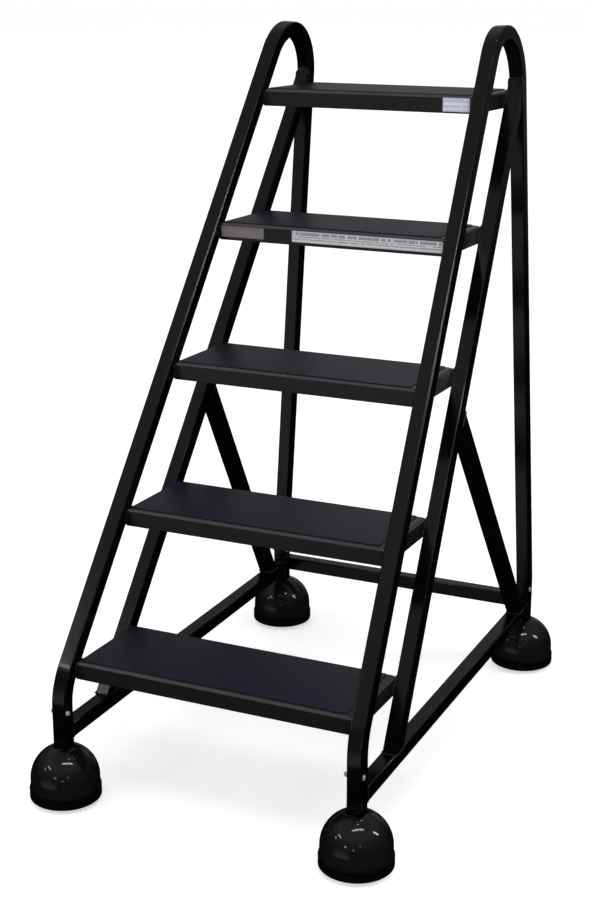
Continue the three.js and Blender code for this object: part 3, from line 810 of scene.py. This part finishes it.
def rivet_head(radius, height):
    """A head standing on the leg's face: a short straight rim under a dome."""
    seat, rim = TUBE / 2 + 0.0001, height * 0.28
    angles = [math.pi / 2 * k / 10 for k in range(10)]
    dome = [(radius * math.cos(a), seat + rim + (height - rim) * math.sin(a)) for a in angles]
    return [(0.003, seat), (radius - 0.0003, seat), (radius, seat + 0.0003), *dome, (0, seat + height)]


def rivet_mesh(side):
    """A rivet through the leg. Its head is tall on the leg's inner side and low on the outer."""
    outer, inner = rivet_head(0.005, 0.0032), rivet_head(0.0047, 0.0066)
    profile = [*((r, -z) for r, z in reversed(inner)), *outer]
    return turned("rivet", [(r, side * z) for r, z in profile], 40, axis="X")


def spring_mesh(name, low, high):
    """A round-wire compression spring with closed ends."""
    turns, mean, wire, steps = 6, 0.0046, 0.0011, 20
    centre = (low + high) / 2
    z0, z1 = low.z + wire, high.z - wire
    rings = []
    for i in range(turns * steps + 1):
        share = i / (turns * steps)
        a = 2 * math.pi * i / steps
        spread = min(max((share * turns - 0.7) / (turns - 1.4), 0), 1)
        rise = 0.12 * share + 0.88 * spread
        point = Vector((centre.x + mean * math.cos(a), centre.y + mean * math.sin(a), z0 + (z1 - z0) * rise))
        out = Vector((math.cos(a), math.sin(a), 0))
        rings.append([
            point + out * (wire * math.cos(t)) + Z_AXIS * (wire * math.sin(t))
            for t in full_turn(8)
        ])
    return mesh_of(name, *skin(rings))


def stem_mesh():
    """The plated stem: turned collar, relief groove, chamfered tip, and the kingpin below."""
    profile = [
        (0, 0.0490), (0.0068, 0.0490), (0.0076, 0.0497), (0.0076, 0.0506), (0.0070, 0.0512),
        (0.005, 0.0512), (0.005, 0.0606), (0.0104, 0.0606), (0.011, 0.0611), (0.011, 0.0635),
        (0.0104, 0.064), (0.0070, 0.064), (0.0062, 0.0648), (0.0062, 0.0880), (0.0056, 0.0886),
        (0.0056, 0.0914), (0.0062, 0.0920), (0.0062, 0.1165), (0.0050, 0.118), (0, 0.118),
    ]
    return turned("caster_stem", profile, 40)


def wheel_mesh():
    """A moulded wheel: rounded tread, recessed web and a raised hub, bored for the axle."""
    upper = [
        (0.0250, 0.0055), (0.0247, 0.0071), (0.0239, 0.0081), (0.0226, 0.0085), (0.0208, 0.0085),
        (0.0202, 0.0079), (0.0198, 0.0052), (0.0110, 0.0052), (0.0100, 0.0060), (0.0095, 0.0090),
        (0.0088, 0.0097), (0.00415, 0.0097),
    ]
    lower = [(r, -z) for r, z in reversed(upper)]
    return turned("wheel", [*lower, *upper], 64, axis="X")


def axle_mesh():
    """The axle, with a riveted head at each end."""
    upper = [(0.004, 0.0127), (0.0052, 0.0127), (0.0056, 0.0131), (0.0053, 0.0142), (0.0040, 0.0147), (0, 0.0147)]
    lower = [(r, -z) for r, z in reversed(upper)]
    return turned("wheel_axle", [*lower, *upper], 32, axis="X")


def rounded_plate(outline, z_low, z_high, edge):
    """An outline of (x, y) points given thickness, with softened edges."""
    centre_x = sum(x for x, _ in outline) / len(outline)
    centre_y = sum(y for _, y in outline) / len(outline)
    rings = []
    for z, inset in ((z_low, edge), (z_low + edge, 0), (z_high - edge, 0), (z_high, edge)):
        ring = []
        for x, y in outline:
            away = Vector((x - centre_x, y - centre_y))
            shrink = 1 - inset / max(away.length, 1e-6)
            ring.append(Vector((centre_x + away.x * shrink, centre_y + away.y * shrink, z)))
        rings.append(ring)
    return skin(rings)


def fork_mesh():
    """The pressed fork: crown plate, two legs with rounded ends, and the raised bearing boss."""
    half, corner, sheet = 0.0124, 0.005, 0.0024
    near, far = corner - half, CASTER_TRAIL + half - corner
    outline = []
    for cx, cy, start in (
        (-near, far, 0), (near, far, math.pi / 2), (near, near, math.pi), (-near, near, 1.5 * math.pi),
    ):
        outline.extend(arc((cx, cy), corner, start, start + math.pi / 2, 5))
    parts = [rounded_plate(outline, 0.0515, 0.0545, 0.0004)]
    leg = [
        (-half + 0.001, 0.0541), (CASTER_TRAIL + half - 0.001, 0.0541),
        *arc((CASTER_TRAIL, WHEEL_Z), 0.008, 0, -math.pi, 16),
    ]
    for x0 in (-half, half - sheet):
        verts, faces = rounded_plate(leg, x0, x0 + sheet, 0.0003)
        parts.append(([Vector((v.z, v.x, v.y)) for v in verts], faces))
    boss = [
        (0.0053, 0.0530), (0.0135, 0.0530), (0.0135, 0.0552), (0.0128, 0.0592), (0.0117, 0.0603), (0.0053, 0.0603),
    ]
    rings = [[Vector((r * math.cos(a), r * math.sin(a), z)) for r, z in boss] for a in full_turn(40)]
    parts.append(skin(rings, closed=True))
    return mesh_of("caster_fork", *merged(parts))


CASTER_PARTS = {
    "cup": (cup_mesh(), CUP, "cup", "frame", ON_AXIS),
    "rubber_ring": (ring_mesh(), RING, "ring", "frame", ON_AXIS),
    "caster_stem": (stem_mesh(), ZINC, "zinc", "stem", ON_AXIS),
    "caster_fork": (fork_mesh(), ZINC, "zinc", "fork", ON_AXIS),
    "wheel_axle": (axle_mesh(), ZINC, "zinc", "fork", ON_AXLE),
    "wheel": (wheel_mesh(), WHEEL, "wheel", "wheel", ON_AXLE),
}

for foot, (sx, sy) in FEET.items():
    leg = Vector((sx * FOOT_HALF_WIDTH, sy * HALF_WHEELBASE, 0))
    for part, (mesh, material, slot, body, place) in CASTER_PARTS.items():
        node = f"{foot}_{part}"
        rides_on = body if body == "frame" else f"{foot}_{body}"
        piece(node, mesh.copy(), material, rides_on, replaces=(node,), flats=True, place=leg + place)
    node = f"{foot}_leg_rivet"
    piece(node, rivet_mesh(sx), RIVET, replaces=(node,), flats=True, place=leg + RIVET_PLACE)
    node = f"{foot}_caster_spring"
    low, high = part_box(node)
    spring = piece(node, spring_mesh(node, low, high), WIRE, replaces=(node,))
    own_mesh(spring)
    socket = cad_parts[f"{foot}_caster_socket"]
    socket.data.materials.clear()
    socket.data.materials.append(SOCKET)

# ---- Floor, backdrop and light ----

FLOOR_RADIUS = 30
BACKDROP_RADIUS = 40


def stage_piece(name, mesh, surface):
    mesh.materials.append(surface.material)
    made = bpy.data.objects.new(name, mesh)
    SCENE.collection.objects.link(made)
    made.visible_glossy = False
    return made


floor_surface = Surface("pale_floor", Roughness=0.9, IOR=1.3, Emission_Strength=0.6)
floor_surface.shader.inputs["Emission Color"].default_value = (1, 1, 1, 1)
floor_surface.set("Base Color", floor_surface.ramp(floor_surface.noise(3, 3, 0.5), (0.3, 0.84), (0.7, 0.86)))
floor_profile = [(0, -0.01), (FLOOR_RADIUS, -0.01), (FLOOR_RADIUS, 0), (0, 0)]
stage_piece("floor", turned("floor", floor_profile, 96), floor_surface)

backdrop_surface = Surface("pale_backdrop", Roughness=1.0, Emission_Strength=1.0)
backdrop_surface.shader.inputs["Base Color"].default_value = (0, 0, 0, 1)
backdrop_surface.shader.inputs["Emission Color"].default_value = (0.99, 0.99, 0.99, 1)
backdrop_profile = arc((0, 0), BACKDROP_RADIUS, -math.pi / 2, math.pi / 2, 24)
backdrop_profile[0], backdrop_profile[-1] = (0, -BACKDROP_RADIUS), (0, BACKDROP_RADIUS)
backdrop = stage_piece("backdrop", turned("backdrop", backdrop_profile, 48), backdrop_surface)
backdrop.visible_diffuse = False
backdrop.visible_transmission = False
backdrop.visible_shadow = False

# The room that the gloss reflects: a dim ceiling, pale walls in front and behind, and darkness below. The levels
# run with height, from 0 straight down to 1 straight up. A spread runs with nearness to its wall's direction.
OVERHEAD = ((0.5, 0.0), (0.56, 0.05), (0.71, 0.1), (0.8, 0.22), (0.86, 0.3), (0.93, 0.22), (1.0, 0.18))
FRONT_WALL = ((0.315, 0.0), (0.34, 0.42), (0.37, 0.38), (0.42, 0.32), (0.48, 0.22), (0.55, 0.1), (0.65, 0.0))
FRONT_SPREAD = ((0.93, 0.0), (0.99, 1.0))
FRONT = (-0.399, -0.863, -0.309)
BACK_WALL = ((0.42, 0.0), (0.47, 0.2), (0.53, 0.06), (0.55, 0.05), (0.595, 0.24), (0.635, 0.5),
             (0.67, 0.36), (0.7, 0.06), (0.78, 0.0))
BACK_SPREAD = ((0.93, 0.0), (0.985, 1.0))
BACK = (-0.15, 0.989, 0.0)

world = bpy.data.worlds.new("soft_studio")
world.use_nodes = True
SCENE.world = world
tree = world.node_tree


def world_node(kind, *sources, operation=None):
    """A node of the world's tree, its inputs filled in order by links or values."""
    node = tree.nodes.new(kind)
    if operation:
        node.operation = operation
    for target, source in zip(node.inputs, sources):
        if isinstance(source, bpy.types.NodeSocket):
            tree.links.new(source, target)
        else:
            target.default_value = source
    return node


def world_ramp(source, stops):
    node = world_node("ShaderNodeValToRGB", source)
    while len(node.color_ramp.elements) < len(stops):
        node.color_ramp.elements.new(0.5)
    for element, (where, level) in zip(node.color_ramp.elements, stops):
        element.position = where
        element.color = (level, level, level, 1)
    return node.outputs["Color"]


def halved(source):
    """A number from -1 to 1, brought into 0 to 1."""
    return world_node("ShaderNodeMath", source, 0.5, 0.5, operation="MULTIPLY_ADD").outputs[0]


direction = tree.nodes.new("ShaderNodeTexCoord").outputs["Generated"]
height = halved(world_node("ShaderNodeSeparateXYZ", direction).outputs["Z"])
room = world_ramp(height, OVERHEAD)
for facing, spread, levels in ((FRONT, FRONT_SPREAD, FRONT_WALL), (BACK, BACK_SPREAD, BACK_WALL)):
    towards = world_node("ShaderNodeVectorMath", direction, facing, operation="DOT_PRODUCT").outputs["Value"]
    width = world_ramp(halved(towards), spread)
    wall = world_node("ShaderNodeVectorMath", world_ramp(height, levels), width, operation="MULTIPLY").outputs[0]
    room = world_node("ShaderNodeVectorMath", wall, room, operation="ADD").outputs[0]
tree.links.new(room, tree.nodes["Background"].inputs["Color"])


LAMPS_FACE = Vector((0, 0, 0.5))


def strip_light(name, ends, width, power):
    """A straight lamp between two points, turned to face the ladder."""
    start, end = Vector(ends[0]), Vector(ends[1])
    centre, along = (start + end) / 2, (end - start).normalized()
    away = centre - LAMPS_FACE
    away = (away - along * away.dot(along)).normalized()
    data = bpy.data.lights.new(name, "AREA")
    data.shape = "RECTANGLE"
    data.size, data.size_y = (end - start).length, width
    data.energy = power
    light = bpy.data.objects.new(name, data)
    light.location = centre
    light.rotation_euler = Matrix((along, away.cross(along), away)).transposed().to_euler()
    SCENE.collection.objects.link(light)


sun_data = bpy.data.lights.new("fill_sun", "SUN")
sun_data.energy = 1.4
sun_data.angle = math.radians(120)
sun = bpy.data.objects.new("fill_sun", sun_data)
sun.rotation_euler = (math.radians(20), math.radians(10), 0)
sun.visible_glossy = False
SCENE.collection.objects.link(sun)

strip_light("ceiling_strip", ((0.02, -1.67, 2.85), (1.48, -0.72, 2.85)), 0.12, 15)
strip_light("left_strip", ((-2.5, -2.3, 2.3), (-1.8, -3.08, 2.22)), 0.13, 5)
strip_light("low_left_strip", ((-3.0, -2.25, 1.7), (-2.7, -2.75, 1.65)), 0.12, 1.6)
strip_light("right_strip", ((2.48, 0.15, 2.09), (2.8, 0.54, 1.46)), 0.14, 9)
SPOT_HALF_LENGTH, SPOT_WIDTH, SPOT_POWER = 0.05, 0.09, 0.6
SPOTS = (
    (-0.44, -3.3, 0.94), (-0.3, -3.35, 0.92), (1.85, -2.81, 1.26), (0.99, -3.39, 0.63), (0.43, -0.4, 3.1),
    (0.55, 0.51, 2.92),
)
for index, (x, y, z) in enumerate(SPOTS, start=1):
    ends = ((x - SPOT_HALF_LENGTH, y, z), (x + SPOT_HALF_LENGTH, y, z))
    strip_light(f"spot_{index}", ends, SPOT_WIDTH, SPOT_POWER)
